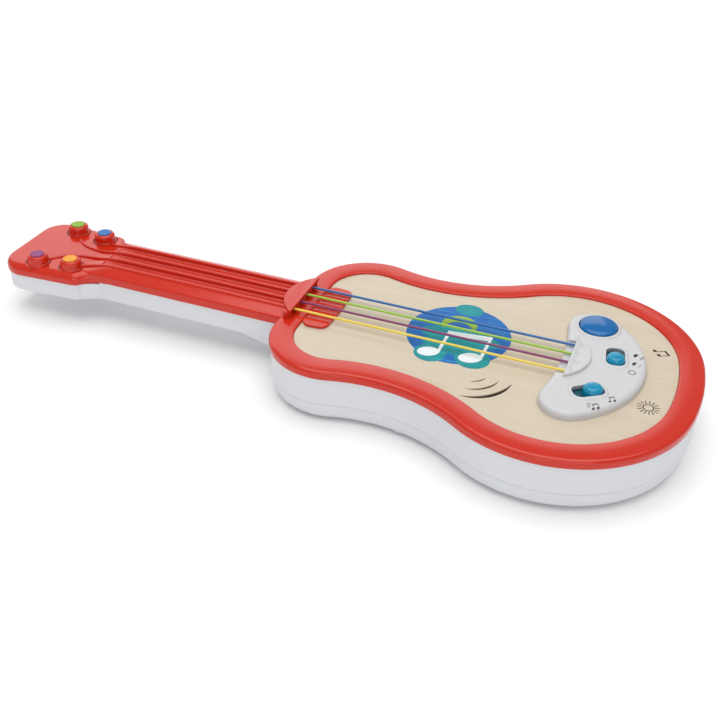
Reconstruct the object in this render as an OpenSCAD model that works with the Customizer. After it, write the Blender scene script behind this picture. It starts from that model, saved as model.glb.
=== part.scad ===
// Toy electric guitar lying on its back: red front frame with neck and headstock, white casing,
// birch front, four fixed strings, a control pod with one button and two sliders, and the
// works inside. Millimetres. +X runs from the headstock to the tail, +Z is up from the table.

/* [Overall] */
// headstock tip to tail
overall_length = 416; // [400:1:440]
// table to the top of the red frame
deck_z = 34; // [33.5:0.5:40]
// width across the lower bout
lower_bout_width = 167; // [162:1:172]
// width across the upper bout
upper_bout_width = 123; // [118:1:128]
// neck end of the body to the tail
body_length = 230.5; // [226:0.5:236]

/* [Red frame] */
// width of the flat red rim
rim_width = 13.5; // [12:0.5:15]
// height of the skirt on the frame's edge
skirt = 5; // [4:0.5:6]
// neck width
neck_width = 41.6; // [38:0.2:44]
// height of the neck's top over the rim
neck_rise = 2.6; // [1.6:0.2:3]
// width of each raised line on the neck
line_width = 1.5; // [1.2:0.1:2]
// headstock width at its end
head_width = 61; // [58:1:65]
// height of the pegs over the headstock
peg_rise = 5.4; // [4:0.2:6]

/* [White casing] */
// wall thickness
wall = 2.4; // [2:0.1:2.8]
// height of the seam between the two white shells
seam_z = 12.5; // [11.5:0.5:13.5]
// depth of the neck below the rim
neck_depth = 17; // [16:0.5:18]

/* [Front panel] */
// thickness of the birch panel
panel_thick = 4; // [3.5:0.1:4.2]
// depth of the panel below the rim
panel_drop = 1.2; // [1:0.1:1.5]

/* [Strings] */
// string diameter
string_d = 1.4; // [1.2:0.1:1.6]
// distance between strings
string_gap = 8.6; // [8:0.1:9]
// height of the strings over the rim
string_rise = 2.6; // [2.4:0.1:3]

/* [Controls] */
// diameter of the play button
button_d = 21; // [20:0.5:22]
// travel of the play button
button_travel = 1.5; // [1:0.1:1.8]
// travel of each slider
slider_travel = 5; // [4:0.2:5.4]
// clearance around each moving control
play = 0.3; // [0.3:0.05:0.5]

/* [Hidden] */
$fn = 96;

RED = "#d63a2c";
WHITE = "#eceef0";
TEAL = "#1fa3ae";
STEEL = "#b9bcc0";
CARD = "#2a7d4f";
fit = 0.2;             // gap between fixed pieces that meet
tail_x = overall_length / 2;
body_x = tail_x - body_length;   // neck end of the body
works_x = tail_x - 208;          // the works stand this far from the tail

// body outline: tail arc, two side arcs, two waist arcs and two corner arcs, all tangent
tail_r = 150;
side_r = 71;
corner_r = 36.5;
waist_r = 86;
side_y = lower_bout_width / 2 - side_r;
corner_y = upper_bout_width / 2 - corner_r;
corner_x = body_x + corner_r;
tail_cx = tail_x - tail_r;
side_x = tail_cx + sqrt(pow(tail_r - side_r, 2) - side_y * side_y);
tail_a = atan2(side_y, side_x - tail_cx);
gap = [corner_x - side_x, corner_y - side_y];
gap_l = norm(gap);
arm_a = waist_r + side_r;
arm_b = waist_r + corner_r;
along = (arm_a * arm_a - arm_b * arm_b + gap_l * gap_l) / (2 * gap_l);
off = sqrt(arm_a * arm_a - along * along);
waist = [side_x + (gap[0] * along + gap[1] * off) / gap_l,
         side_y + (gap[1] * along - gap[0] * off) / gap_l];

// control pod outline: two lobes, an outer arc and a hollow front arc, all tangent
pod_x = tail_x - 30;   // outer end
lobe_r = 14;
lobe = [pod_x - 34, 36];
pod_front_x = pod_x - 44;
pod_k = lobe[0] - pod_x;
pod_r = (pod_k * pod_k + lobe[1] * lobe[1] - lobe_r * lobe_r) / (-2 * (pod_k + lobe_r));
pod_cx = pod_x - pod_r;
front_k = lobe[0] - pod_front_x;
front_r = (front_k * front_k + lobe[1] * lobe[1] - lobe_r * lobe_r) / (2 * (lobe_r - front_k));
pod_top = deck_z + 3.2;
pod_roof = 1.8;
ledge_z = deck_z + 1.2;        // low front of the pod under the strings
bridge_x = pod_x - 39.5;       // flat face of the bridge
bridge_top = deck_z + 5;

panel_top = deck_z - panel_drop;
panel_low = panel_top - panel_thick;
skirt_z = deck_z - skirt;
shell_in = 0.8;        // how far the white shells stand back from the red edge
frame_wall = 2.5;
frame_plate = 2.6;

button_at = [pod_x - 31.5, 35];
volume_at = [pod_x - 17.5, 8.8];
volume_a = 100;
mode_at = [pod_x - 25, -27];
mode_a = 34;
knob_l = 11;
knob_w = 9.2;
knob_r = 3.6;
window_l = knob_l + slider_travel + 2 * play;
window_w = knob_w + 2 * play;
card_z = deck_z - 11;          // underside of the pod's circuit card
card_t = 1.6;
card_top = card_z + card_t;
pod_posts = [[pod_x - 38, 14], [pod_x - 37, -15], [pod_x - 7.4, 10], [pod_x - 8, -11]];

nut_x = body_x + 7;            // flat face of the nut
nut_half = 20.5;
nut_deep = 10.5;
nut_top = deck_z + 5.5;
string_z = deck_z + string_rise;

neck_end = body_x - 112.5;     // where the neck's full height ends
head_end = -tail_x;
head_skirt_z = deck_z - 6.8;
head_r = 15.2;         // corners of the headstock
head_circles = [[head_end + head_r, head_r - head_width / 2, head_r], [head_end + 51, -22.3, 6],
                [head_end + 51, 22.3, 6], [head_end + head_r, head_width / 2 - head_r, head_r]];
outer_peg = [head_end + 24.4, 21.3];
inner_peg = [head_end + 46, 18.4];
peg_top = deck_z + peg_rise;
disc_r = 4;
disc_t = 1.8;

cell_r = 7.1;
cell_l = 50;
cell_pitch = 15.6;
bay = [works_x + 61, -5.5, 58, 3 * cell_pitch];     // x, y, length, width
bay_roof = 17.4;        // inside height of the battery bay
door_t = 2.4;
door_screw_x = works_x + 125;
door_screw_y = [4, 32];
cell_z = door_t + 0.4 + cell_r;

speaker_at = [works_x + 103, -38];
speaker_r = 20;
speaker_top = panel_low - 1;
board_z = 15.5;
body_posts = [[corner_x - 4, 46], [works_x + 62, 48], [works_x + 172, 44]];
neck_posts = [body_x - 38, body_x - 103, head_end + 21];

// one side of the line that touches two circles [x, y, r], grown by d
function tangent(a, b, d) =
  let (v = [b[0] - a[0], b[1] - a[1]],
       t = atan2(v[1], v[0]) - acos((a[2] - b[2]) / norm(v)),
       n = [cos(t), sin(t)])
  [[a[0], a[1]] + (a[2] + d) * n, [b[0], b[1]] + (b[2] + d) * n];

// closed band around circles listed anticlockwise
module loop(c, d = 0) {
  for (q = c) translate([q[0], q[1]]) circle(q[2] + d);
  polygon([for (i = [0 : len(c) - 1]) each tangent(c[i], c[(i + 1) % len(c)], d)]);
}

module slab(low, high) translate([0, 0, low]) linear_extrude(high - low) children();

module rounded(l, w, r) loop([[-l / 2 + r, -w / 2 + r, r], [l / 2 - r, -w / 2 + r, r],
                              [l / 2 - r, w / 2 - r, r], [-l / 2 + r, w / 2 - r, r]]);

module body_outline(d) {
  difference() {
    union() {
      for (s = [-1, 1]) translate([side_x, s * side_y]) circle(side_r + d);
      intersection() {
        translate([tail_cx, 0]) circle(tail_r + d);
        polygon([[tail_cx, 0], [tail_cx + 300, 300 * tan(tail_a)],
                 [tail_cx + 300, -300 * tan(tail_a)]]);
      }
      polygon([[side_x, side_y], waist, [corner_x, corner_y],
               [corner_x, -corner_y], [waist[0], -waist[1]], [side_x, -side_y]]);
      for (s = [-1, 1]) translate([corner_x, s * corner_y]) circle(corner_r + d);
      translate([body_x - d, -corner_y]) square([corner_r + d, 2 * corner_y]);
    }
    for (s = [-1, 1]) translate([waist[0], s * waist[1]]) circle(waist_r - d);
  }
}

// cutter for a sloped lower edge of width c around body_outline(d), standing on z = 0
module edge_cut(d, c) {
  to_waist = atan2(waist[1] - side_y, waist[0] - side_x);
  from_waist = atan2(waist[1] - corner_y, waist[0] - corner_x);
  lap = 0.4;   // degrees that neighbouring cutters share
  translate([tail_cx, 0]) rotate([0, 0, -tail_a]) rotate_extrude(angle = 2 * tail_a)
    translate([tail_r + d, 0]) edge_profile(c);
  for (m = [0, 1]) mirror([0, m, 0]) {
    translate([side_x, side_y]) rotate([0, 0, tail_a]) rotate_extrude(angle = to_waist - tail_a)
      translate([side_r + d, 0]) edge_profile(c);
    translate([corner_x, corner_y]) rotate([0, 0, from_waist - lap])
      rotate_extrude(angle = 180 - from_waist + 2 * lap)
      translate([corner_r + d, 0]) edge_profile(c);
    translate(waist) rotate([0, 0, from_waist - 180 - lap])
      rotate_extrude(angle = to_waist - from_waist + 2 * lap)
      translate([waist_r - d, 0]) mirror([1, 0]) edge_profile(c);
  }
  translate([body_x - d, -corner_y, 0]) rotate([90, 0, 180])
    linear_extrude(2 * corner_y) edge_profile(c);
}
module edge_profile(c) polygon([[-c - 1, -1], [1, c + 1], [1, -1]]);

module pod_outline(d) {
  a = atan2(lobe[1], lobe[0] - pod_cx);
  difference() {
    union() {
      for (s = [-1, 1]) translate([lobe[0], s * lobe[1]]) circle(lobe_r + d);
      intersection() {
        translate([pod_cx, 0]) circle(pod_r + d);
        polygon([[pod_cx, 0], [pod_cx + 70, -70 * tan(a)], [pod_cx + 70, 70 * tan(a)]]);
      }
      polygon([lobe, [pod_front_x - 12, 0], [lobe[0], -lobe[1]]]);
    }
    translate([pod_front_x - front_r, 0]) circle(front_r - d);
  }
}

module head_outline(d) {
  loop(head_circles, d);
  polygon([[head_end + 50, -28.1 - d], [body_x - 119.5, -neck_width / 2 - d],
           [body_x - 119.5, neck_width / 2 + d], [head_end + 50, 28.1 + d]]);
}

// height of the neck and headstock along x, grown by up
module side_profile(up) translate([0, 90, 0]) rotate([90, 0, 0]) linear_extrude(180)
  polygon([[head_end - 5, 0], [body_x + 3.5, 0], [body_x + 3.5, deck_z + neck_rise + up],
           [neck_end, deck_z + neck_rise + up], [neck_end - 22, deck_z + up],
           [head_end - 5, deck_z + up]]);

module stroke(p, w) {
  n = len(p) - 1;
  d = [for (i = [0 : n]) let (v = p[min(i + 1, n)] - p[max(i - 1, 0)]) v / norm(v)];
  polygon(concat([for (i = [0 : n]) p[i] + w / 2 * [-d[i][1], d[i][0]]],
                 [for (i = [n : -1 : 0]) p[i] - w / 2 * [-d[i][1], d[i][0]]]));
}

module top_frame() color(RED) {
  difference() {
    union() {
      difference() {
        slab(skirt_z, deck_z) body_outline(0);
        slab(skirt_z - 1, deck_z - frame_plate) body_outline(-frame_wall);
        slab(skirt_z - 1, deck_z + 1) body_outline(-rim_width);
        translate([0, 0, deck_z]) mirror([0, 0, 1]) edge_cut(0, 0.8);
      }
      difference() {
        slab(panel_low - 2.1, deck_z - 0.5) body_outline(frame_wall - rim_width);
        slab(panel_low - 3, deck_z) body_outline(-rim_width - 3.5);
        slab(panel_low - 0.1, deck_z) body_outline(-rim_width);
        translate([speaker_at[0], speaker_at[1], panel_low - 4]) cylinder(5, 22.4, 22.4);
      }
      intersection() {
        translate([body_x + 3.5, 0, 0]) rotate([90, 0, -90])
          linear_extrude(body_x + 3.5 - neck_end + 30) neck_section(0);
        side_profile(0);
      }
      slab(head_skirt_z, deck_z) head_outline(0);
      neck_lines();
      for (s = [-1, 1], p = [outer_peg, inner_peg]) translate([p[0], s * p[1], deck_z - 0.5]) {
        cylinder(peg_rise - 1.8, 6.2, 6.2);
        translate([0, 0, peg_rise - 1.8]) cylinder(2, 6.2, 4.9);
      }
    }
    neck_hollow();
    slab(head_skirt_z - 1, deck_z - frame_plate) head_outline(-frame_wall);
    for (y = [-string_gap, 0, string_gap]) neck_channel(y);
    for (s = [-1, 1], p = [outer_peg, inner_peg])
      translate([p[0], s * p[1], peg_top - disc_t]) cylinder(disc_t + 1, disc_r + 0.1, disc_r + 0.1);
  }
  for (x = neck_posts) translate([x, 0, deck_z - 14])
    post(x > neck_end ? 14 + neck_rise - 1 : 13, 3.2, 1.3);
}

module neck_section(d) polygon([[-neck_width / 2 + d, skirt_z - d], [-neck_width / 2 + d, deck_z - d / 2],
  [-14.4 + d / 2, deck_z + neck_rise - d], [14.4 - d / 2, deck_z + neck_rise - d],
  [neck_width / 2 - d, deck_z - d / 2], [neck_width / 2 - d, skirt_z - d]]);

module neck_hollow() intersection() {
  translate([body_x + 1, 0, 0]) rotate([90, 0, -90])
    linear_extrude(body_x - neck_end + 30) neck_section(frame_wall);
  translate([0, 0, -frame_wall]) side_profile(0);
}

module neck_lines() {
  y1 = 1.5 * string_gap;
  y2 = 0.5 * string_gap;
  intersection() {
    slab(deck_z - 0.5, deck_z + 6) for (m = [0, 1]) mirror([0, m]) {
      stroke([outer_peg, [head_end + 27.5, 17.2], [head_end + 31, 12.8], [head_end + 36, 8.2],
              [head_end + 42, 5.6], [head_end + 50, y2 + 0.3], [head_end + 58, y2],
              [nut_x - 3.5, y2]], line_width);
      stroke([inner_peg, [head_end + 50, 16.2], [head_end + 56, 13.8], [head_end + 62, y1 + 0.1],
              [head_end + 73, y1], [nut_x - 3.5, y1]], line_width);
    }
    side_profile(1);
  }
}

module neck_channel(y) {
  w = string_gap - line_width - 0.4;
  translate([neck_end - 11, y - w / 2, deck_z + neck_rise - 0.9])
    cube([nut_x - 5 - neck_end + 11, w, 3]);
}

module post(h, r, bore) difference() {
  cylinder(h, r, r);
  translate([0, 0, -1]) cylinder(h - 1, bore, bore);
}

module wood_panel() color("#e3cfa8") difference() {
  slab(panel_low, panel_top) body_outline(-rim_width - fit);
  slab(panel_low - 1, panel_top + 1) {
    pod_outline(-3.5);
    translate(button_at) circle(button_d / 2 + 1.4 + play);
  }
  for (r = [10, 16.8, 23.5]) sound_slot(r);
}

module sound_slot(r) translate([works_x + 91.5, -26.5, panel_low - 1]) rotate([0, 0, -86])
  rotate_extrude(angle = 60 + r * 0.7) translate([r - 0.8, 0]) square([1.6, panel_thick + 2]);

module finger_plate() color(RED) difference() {
  slab(panel_top + 0.05, deck_z + 0.4)
    loop([[body_x + rim_width + 5.3, -16.9, 5], [body_x + 24, -16.5, 5], [body_x + 26.5, 0, 3],
          [body_x + 24, 16.5, 5], [body_x + rim_width + 5.3, 16.9, 5]]);
  for (i = [-1.5 : 1 : 1.5]) translate([body_x + rim_width - 1, i * string_gap - 1.5, deck_z - 0.2])
    cube([30, 3, 2]);
}

module string_nut() color(RED) {
  r = (nut_half * nut_half + nut_deep * nut_deep) / (2 * nut_deep);
  slab(deck_z + neck_rise + 1.05, nut_top) difference() {
    translate([nut_x - nut_deep + r, 0]) circle(r);
    translate([nut_x, -r]) square([2 * r, 2 * r]);
  }
  for (i = [-1 : 1]) translate([nut_x - 3.2, i * string_gap - 2.4, deck_z + 0.05])
    cube([3, 4.8, neck_rise + 1.5]);
  for (s = [-1, 1]) translate([nut_x - 1.8, s * 17.6, deck_z + 0.05]) cylinder(neck_rise + 1.5, 1.6, 1.6);
}

module string(i) translate([nut_x - 3, i * string_gap, string_z]) rotate([0, 90, 0])
  cylinder(bridge_x + 3 - nut_x + 3, string_d / 2, string_d / 2);
module string_blue() color("#2467b8") string(1.5);
module string_green() color("#9ac53c") string(0.5);
module string_purple() color("#8c3c78") string(-0.5);
module string_yellow() color("#ecd247") string(-1.5);

module slider_place(at, a) translate([at[0], at[1], 0]) rotate([0, 0, a]) children();

module control_pod() color(WHITE) {
  difference() {
    union() {
      slab(panel_top + 0.05, pod_top - 0.8) pod_outline(0);
      slab(pod_top - 1, pod_top) pod_outline(-0.8);
      translate([button_at[0], button_at[1], pod_top - 1])
        cylinder(1.8, button_d / 2 + play + 1.5, button_d / 2 + play + 1.3);
      for (p = [[volume_at, volume_a], [mode_at, mode_a]]) slider_place(p[0], p[1])
        slab(pod_top - 1, pod_top + 0.7) rounded(window_l + 2.6, window_w + 2.6, knob_r + play + 1.3);
    }
    difference() {
      slab(panel_low, pod_top - pod_roof) pod_outline(-2.4);
      translate([pod_front_x - 5, -18, 0]) cube([9.6, 36, 60]);
    }
    translate([pod_front_x - 5, -16.5, ledge_z]) cube([bridge_x - pod_front_x + 5, 33, 9]);
    string_entries();
    translate([button_at[0], button_at[1], panel_top])
      cylinder(20, button_d / 2 + play, button_d / 2 + play);
    for (p = [[volume_at, volume_a], [mode_at, mode_a]]) slider_place(p[0], p[1])
      slab(panel_top, pod_top + 5) rounded(window_l, window_w, knob_r + play);
  }
  for (p = pod_posts) translate([p[0], p[1], card_top + 0.05]) difference() {
    cylinder(pod_top - pod_roof + 0.2 - card_top, 1.8, 1.8);
    translate([0, 0, -1]) cylinder(7, 0.8, 0.8);
  }
}

module bridge() color(WHITE) {
  half = 19.5;
  deep = 10.5;
  r = (half * half + deep * deep) / (2 * deep);
  difference() {
    slab(pod_top + 0.05, bridge_top) intersection() {
      translate([bridge_x + deep - r, 0]) circle(r);
      translate([bridge_x, -30]) square([30, 60]);
    }
    string_entries();
  }
}

module string_entries() for (i = [-1.5 : 1 : 1.5])
  translate([bridge_x - 1, i * string_gap, string_z]) rotate([0, 90, 0])
  cylinder(5, string_d / 2 + 0.05, string_d / 2 + 0.05);

module play_button() color("#1c6fc0") translate([button_at[0], button_at[1], 0]) {
  r = button_d / 2;
  top = pod_top + 1;
  cap = 1.9;
  ball = (r * r + cap * cap) / (2 * cap);
  translate([0, 0, pod_top - pod_roof - 1.6]) cylinder(top - pod_top + pod_roof + 1.6, r, r);
  intersection() {
    translate([0, 0, top + cap - ball]) sphere(ball);
    translate([0, 0, top - 0.2]) cylinder(cap + 1, r, r);
  }
  intersection() {
    translate([0, 0, pod_top - pod_roof - 1.3]) cylinder(1.2, r + 1.4, r + 1.4);
    translate([-button_at[0], -button_at[1], 0]) slab(panel_low, pod_top) pod_outline(-2.4 - play);
  }
  translate([0, 0, card_top + 4.4]) cylinder(pod_top - card_top - 7.4, 2.5, 2.5);
}

// a knob at one end of its window: end -1 or 1
module knob(at, a, end) color(TEAL) slider_place(at, a) translate([end * slider_travel / 2, 0, 0]) {
  top = deck_z + 6.4;
  ball = 11;
  intersection() {
    slab(pod_top - pod_roof - 1.4, top) rounded(knob_l, knob_w, knob_r);
    translate([0, 0, top - ball]) sphere(ball);
  }
  slab(pod_top - pod_roof - 1.5, pod_top - pod_roof - 0.3)
    square([window_l + slider_travel + 1.2, window_w + 1.4], center = true);
  translate([-1, -1, card_top + 4.6]) cube([2, 2, pod_top - pod_roof - 1.4 - card_top - 4.6]);
}
module volume_knob() knob(volume_at, volume_a, -1);
module mode_knob() knob(mode_at, mode_a, 1);

module peg_disc(p, s, c) color(c) translate([p[0], s * p[1], peg_top - disc_t + 0.05])
  cylinder(disc_t + 0.25, disc_r, disc_r);
module peg_disc_green() peg_disc(outer_peg, 1, "#8fb63a");
module peg_disc_blue() peg_disc(inner_peg, 1, "#2f74bd");
module peg_disc_purple() peg_disc(outer_peg, -1, "#8f3c7c");
module peg_disc_orange() peg_disc(inner_peg, -1, "#f0a326");

module mid_shell() color(WHITE) {
  low = deck_z - neck_depth;
  difference() {
    union() {
      slab(seam_z + 0.1, skirt_z - 0.1) body_outline(-shell_in);
      slab(skirt_z - 0.2, skirt_z + 2.2) body_outline(-frame_wall - fit);
      translate([neck_end - 20, -neck_width / 2 + shell_in, low])
        cube([body_x + 10 - neck_end + 20, neck_width - 2 * shell_in, skirt_z - 0.1 - low]);
      translate([0, neck_width / 2 - shell_in - 1, 0]) rotate([90, 0, 0])
        linear_extrude(neck_width - 2 * shell_in - 2)
        polygon([[body_x - 32, low + 1], [body_x - 12, seam_z + 0.1], [body_x + 5, seam_z + 0.1],
                 [body_x + 5, low + 4], [body_x - 32, low + 4]]);
      slab(low, head_skirt_z - 0.1) head_outline(-shell_in);
    }
    slab(seam_z - 1, skirt_z + 5) body_outline(-shell_in - wall);
    translate([neck_end - 8, -neck_width / 2 + shell_in + wall, low + wall])
      cube([body_x + 14 - neck_end + 8, neck_width - 2 * (shell_in + wall), 30]);
    slab(low + wall, skirt_z + 5) head_outline(-5.5);
    for (s = [-1, 1], x = [25, 48.5]) translate([head_end + x, s * (38.5 - x / 12), low - 1])
      cylinder(head_skirt_z - low + 0.4, 6, 6);
    slab(head_skirt_z - 0.1, skirt_z + 5) head_outline(0.5);
    translate([body_x - 1, -neck_width / 2 - fit, skirt_z]) cube([10, neck_width + 2 * fit, 5]);
    for (x = neck_posts) translate([x, 0, low - 1]) cylinder(10, 1.7, 1.7);
    for (x = neck_posts) translate([x, 0, low - 1]) cylinder(2.8, 3.2, 3.2);
  }
  for (x = neck_posts) translate([x, 0, low + 1.8]) difference() {
    cylinder(1.2, 4.4, 4.4);
    translate([0, 0, -1]) cylinder(4, 1.7, 1.7);
  }
  for (s = [-1, 1], p = body_posts) translate([p[0], s * p[1], seam_z + 0.2]) {
    post(panel_low - 3 - seam_z, 3.6, 1.3);
    side_rib(p, s);
  }
}

// thin web that ties a screw post to the side wall
module side_rib(p, s) intersection() {
  translate([-0.8, s < 0 ? -40 : 2.5, 0]) cube([1.6, 37.5, panel_low - 4 - seam_z]);
  translate([-p[0], -s * p[1], -1]) slab(0, 40) body_outline(-shell_in - 1);
}

module bay_walls(low, high, grow) translate([bay[0] - grow, bay[1] - grow, low])
  cube([bay[2] + 2 * grow, bay[3] + 2 * grow, high - low]);

module back_shell() color(WHITE) {
  difference() {
    union() {
      difference() {
        difference() {
          slab(0, seam_z) body_outline(-shell_in);
          edge_cut(-shell_in, 3.5);
        }
        slab(wall + 0.2, seam_z + 1) body_outline(-shell_in - wall);
      }
      slab(wall, wall + 2.6) difference() {
        body_outline(-shell_in - wall + 0.2);
        body_outline(-shell_in - wall - 2.4);
      }
      bay_walls(1, bay_roof + 1.8, 3);
      for (y = door_screw_y) translate([door_screw_x, y, 1]) cylinder(12, 4.4, 4.4);
      for (s = [-1, 1], p = body_posts) translate([p[0], s * p[1], 1]) cylinder(seam_z - 1, 4.6, 4.6);
    }
    translate([bay[0], bay[1], -1]) cube([bay[2], bay[3], bay_roof + 1]);
    translate([bay[0] - 3 - play, bay[1] - 3 - play, -1])
      cube([bay[2] + 14 + 2 * play, bay[3] + 6 + 2 * play, door_t + 1 + 0.1]);
    for (y = door_screw_y) translate([door_screw_x, y, -1]) cylinder(12, 1.55, 1.55);
    for (s = [-1, 1], p = body_posts) translate([p[0], s * p[1], -1]) {
      cylinder(7, 3.3, 3.3);
      cylinder(20, 1.7, 1.7);
    }
  }
  for (x = [works_x + 28, works_x], s = [-1, 1]) translate([x, s * 20, wall]) cylinder(board_z - wall - 0.05, 2.4, 2.4);
}

module battery_door() color(WHITE) difference() {
  translate([bay[0] - 3, bay[1] - 3, 0.1]) cube([bay[2] + 14, bay[3] + 6, door_t - 0.1]);
  for (y = door_screw_y) translate([door_screw_x, y, -1]) {
    cylinder(9, 1.9, 1.9);
    cylinder(2.5, 3.2, 3.2);
  }
  for (i = [0 : 4]) translate([bay[0] + 6 + 3 * i, bay[1] + 12, -1]) cube([1.4, bay[3] - 24, 1.5]);
}

module door_screw(y) color(STEEL) translate([door_screw_x, y, 0.2]) difference() {
  union() {
    cylinder(1.3, 2.9, 2.9);
    cylinder(9, 1.45, 1.45);
  }
  translate([-2, -0.35, -1]) cube([4, 0.7, 1.8]);
  translate([-0.35, -2, -1]) cube([0.7, 4, 1.8]);
}
module door_screw_left() door_screw(door_screw_y[0]);
module door_screw_right() door_screw(door_screw_y[1]);

module battery(i, flip) color("#3c4a52")
  translate([bay[0] + bay[2] / 2, bay[1] + cell_pitch * (i + 0.5), cell_z])
  rotate([0, flip ? 90 : -90, 0]) translate([0, 0, -cell_l / 2]) {
    cylinder(cell_l - 1.6, cell_r, cell_r);
    cylinder(cell_l, 2.7, 2.7);
  }
module battery_1() battery(0, true);
module battery_2() battery(1, false);
module battery_3() battery(2, true);

module contact_springs() color(STEEL) for (i = [0 : 2]) {
  s = i == 1 ? 1 : -1;
  translate([bay[0] + bay[2] / 2 + s * (bay[2] / 2 - 0.5), bay[1] + cell_pitch * (i + 0.5), cell_z])
    rotate([0, -s * 90, 0]) {
      translate([0, 0, -0.4]) translate([-4, -4, 0]) cube([8, 8, 0.4]);
      for (k = [0 : 3]) translate([0, 0, 0.2 + k * 0.8]) rotate_extrude()
        translate([4.2 - k * 0.35, 0]) circle(0.5, $fn = 24);
    }
}

module contact_plates() color(STEEL) for (i = [0 : 2]) {
  s = i == 1 ? -1 : 1;
  translate([bay[0] + bay[2] / 2 + s * (bay[2] / 2 - 0.3) - 0.2,
             bay[1] + cell_pitch * (i + 0.5) - 4, cell_z - 4]) cube([0.4, 8, 8]);
  translate([bay[0] + bay[2] / 2 + s * (bay[2] / 2 - 1.9) - 1.55,
             bay[1] + cell_pitch * (i + 0.5), cell_z]) rotate([0, 90, 0]) cylinder(3.1, 2.2, 2.2);
}

module main_board() color(CARD) difference() {
  translate([works_x - 8, -26, board_z]) cube([44, 52, 1.6]);
  for (x = [works_x + 28, works_x], s = [-1, 1]) translate([x, s * 20, board_z - 1]) cylinder(4, 1.2, 1.2);
}

module board_parts() color("#22262a") translate([works_x, 0, 0]) {
  translate([4, -8, board_z + 1.65]) cube([14, 14, 1.6]);
  translate([22, 0, board_z + 1.65]) cylinder(1.2, 5, 5);
  translate([22, -12, board_z + 1.65]) cylinder(8, 3.2, 3.2);
  translate([24, 12, board_z + 1.65]) cube([7, 4, 2.4]);
  translate([-5, -16, board_z + 1.65]) cube([3, 12, 4]);
}

module pod_board() color(CARD) difference() {
  slab(card_z, card_top) loop([[pod_x - 41.5, -30, 3], [pod_x - 30, -34, 3], [pod_x - 10, -20, 4],
    [pod_x - 8, 18, 4], [pod_x - 22, 38, 4], [pod_x - 38, 38, 4], [pod_x - 41.5, 30, 3]]);
  for (p = pod_posts) translate([p[0], p[1], card_z - 1]) cylinder(4, 1, 1);
}

module pod_screws() color(STEEL) for (p = pod_posts) translate([p[0], p[1], card_z - 1.25]) {
  cylinder(1.2, 2.1, 2.1);
  cylinder(6, 0.75, 0.75);
}

module tact_switch() color("#2a2d30") translate([button_at[0], button_at[1], card_top + 0.05]) {
  translate([-3, -3, 0]) cube([6, 6, 1.4]);
  cylinder(2, 1.6, 1.6);
}

module button_dome() color("#d9dcdf")
  translate([button_at[0], button_at[1], card_top + 0.05]) rotate_extrude()
  polygon([[7, 0], [8, 0], [8, 0.8], [3, 4.25], [1.2, 4.25], [1.2, 3.6], [2.7, 3.6], [7, 0.5]]);

module slide_switch(at, a) color("#c3c7ca") slider_place(at, a) difference() {
  translate([-7, -3.2, card_top + 0.05]) cube([14, 6.4, 5.6]);
  translate([-slider_travel / 2 - 1 - play, -1 - play, card_top + 4.2])
    cube([slider_travel + 2 + 2 * play, 2 + 2 * play, 4]);
}
module volume_switch() slide_switch(volume_at, volume_a);
module mode_switch() slide_switch(mode_at, mode_a);

module speaker_place() translate([speaker_at[0], speaker_at[1], speaker_top]) mirror([0, 0, 1])
  children();
module speaker_frame() color(STEEL) speaker_place() rotate_extrude()
  polygon([[17, 0], [speaker_r, 0], [speaker_r, 0.8], [17.8, 0.8], [13, 6], [6, 6], [6, 5.2],
           [12.5, 5.2], [17, 0.6]]);
module speaker_cone() color("#3a3d40") speaker_place() rotate_extrude()
  polygon([[16.8, 0.1], [16.8, 0.5], [5.9, 4.4], [0, 3.2], [0, 2.8], [5.7, 3.8], [15.5, 0.1]]);
module speaker_magnet() color("#54585c") speaker_place() translate([0, 0, 6.05]) cylinder(6, 9, 9);
module speaker_gasket() color("#33363a") translate([speaker_at[0], speaker_at[1], speaker_top + 0.05])
  difference() {
    cylinder(0.9, speaker_r, speaker_r);
    translate([0, 0, -1]) cylinder(3, 17, 17);
  }
module speaker_bracket() color(WHITE)
  translate([speaker_at[0], speaker_at[1], speaker_top - 3]) difference() {
    union() {
      cylinder(2.1, 21.6, 21.6);
      for (a = [30, 150]) rotate([0, 0, a]) translate([23, 0, 0]) cylinder(3.95, 3, 3);
    }
    translate([0, 0, -1]) cylinder(5, 18.2, 18.2);
    translate([0, 0, 1.2]) cylinder(5, speaker_r + 0.1, speaker_r + 0.1);
  }

module touch_film() color("#b87942") for (i = [-1.5 : 1 : 1.5])
  translate([works_x + 20, i * string_gap - 2, panel_low - 0.45]) cube([98, 4, 0.4]);

module case_screws() color(STEEL) for (s = [-1, 1], p = body_posts)
  translate([p[0], s * p[1], 4.2]) {
    cylinder(1.75, 3, 3);
    cylinder(16, 1.25, 1.25);
  }
module neck_screws() color(STEEL) for (x = neck_posts) translate([x, 0, deck_z - neck_depth + 0.05]) {
  cylinder(1.7, 2.9, 2.9);
  cylinder(9, 1.25, 1.25);
}

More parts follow.
